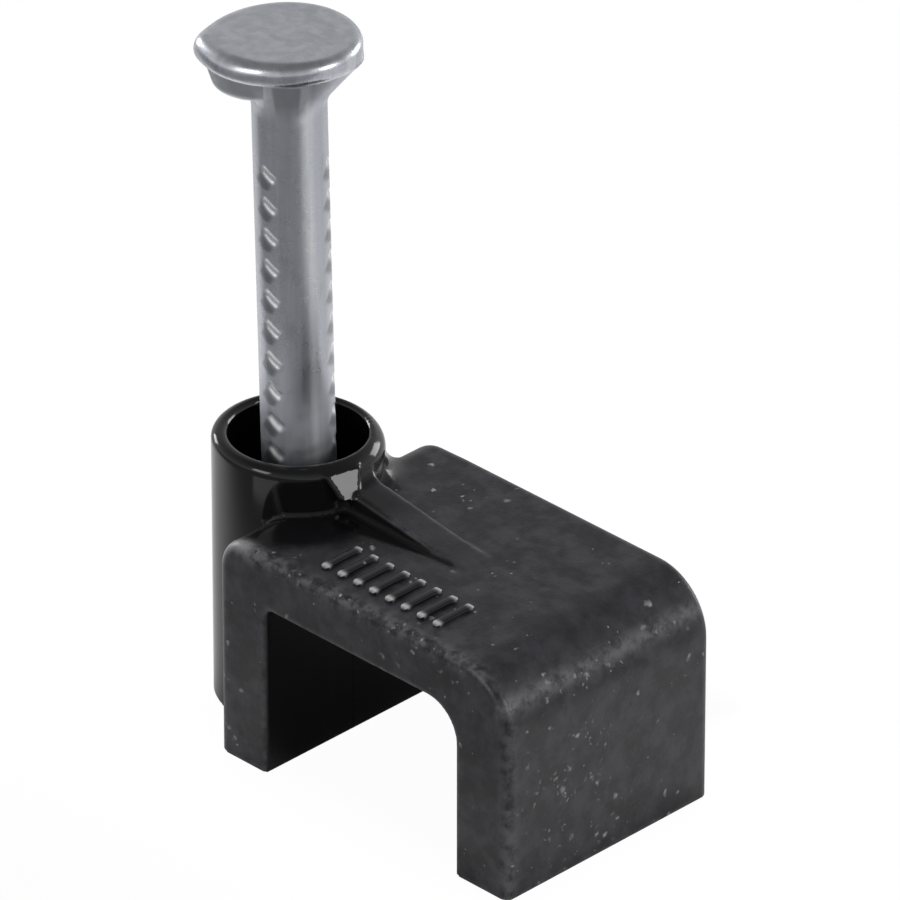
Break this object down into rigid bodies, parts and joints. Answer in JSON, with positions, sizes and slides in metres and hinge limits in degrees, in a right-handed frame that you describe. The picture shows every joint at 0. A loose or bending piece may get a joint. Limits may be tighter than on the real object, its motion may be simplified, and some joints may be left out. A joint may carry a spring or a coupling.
{
  "type": "nail-in cable clip",
  "caption": "Moulded U-shaped clip that holds a flat cable to a wall, with a steel nail held ready in a round boss on one side.",
  "frame": {"origin": "on the axis of the nail boss, in the wall plane that the legs and the boss stand on", "axes": "+X across the cable from the nail to the far leg, +Y along the cable, +Z away from the wall"},
  "size_m": [0.012, 0.0064, 0.0169],
  "materials": {
    "clip_plastic": "black moulded plastic, matt on the bridge and glossy on the boss",
    "nail_zinc": "zinc-plated steel, satin"
  },
  "bodies": {
    "clip": {"clip_body": "clip_plastic"},
    "nail": {"nail": "nail_zinc"}
  },
  "joints": [
    {"name": "nail_drive", "type": "slide", "parent": "clip", "child": "nail", "axis": [0.0123, 0.0123, -0.9998], "range_m": [0, 0.00865]}
  ]
}
